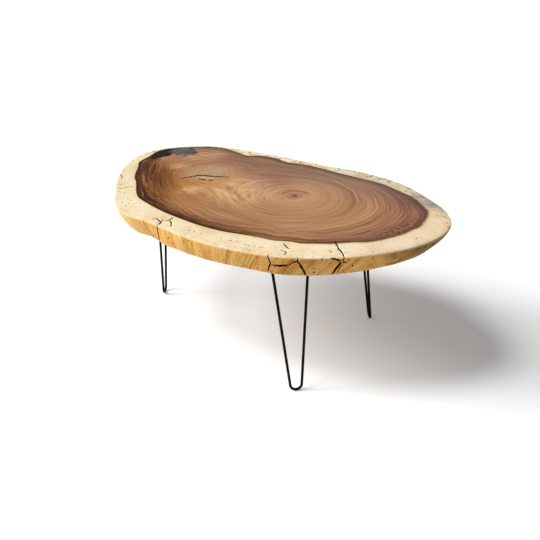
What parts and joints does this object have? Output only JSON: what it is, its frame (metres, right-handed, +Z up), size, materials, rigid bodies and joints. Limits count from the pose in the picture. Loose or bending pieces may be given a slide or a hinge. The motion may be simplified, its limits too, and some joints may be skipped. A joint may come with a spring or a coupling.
{
  "type": "live edge table",
  "caption": "Low table with a thick oval cross-cut slice of trunk as its top, brown heartwood in a pale sapwood rim with a natural edge, on slim black hairpin legs.",
  "frame": {"origin": "on the floor, under the middle of the slab's outline", "axes": "+X along the slab's length towards its blunt end, +Y towards the slab's straighter long side, +Z up"},
  "size_m": [1.1434, 0.6466, 0.471],
  "materials": {
    "slab_wood": "satin clear coat over brown heartwood and pale sapwood",
    "dark_resin": "poured dark resin, polished flush",
    "black_steel": "satin black paint",
    "screw_steel": "zinc plated"
  },
  "bodies": {
    "root": {"slab": "slab_wood", "resin_fill": "dark_resin", "end_leg_rod": "black_steel", "end_leg_plate": "black_steel", "end_leg_welds": "black_steel", "end_leg_screws": "screw_steel", "front_leg_rod": "black_steel", "front_leg_plate": "black_steel", "front_leg_welds": "black_steel", "front_leg_screws": "screw_steel", "back_leg_rod": "black_steel", "back_leg_plate": "black_steel", "back_leg_welds": "black_steel", "back_leg_screws": "screw_steel"}
  },
  "joints": []
}
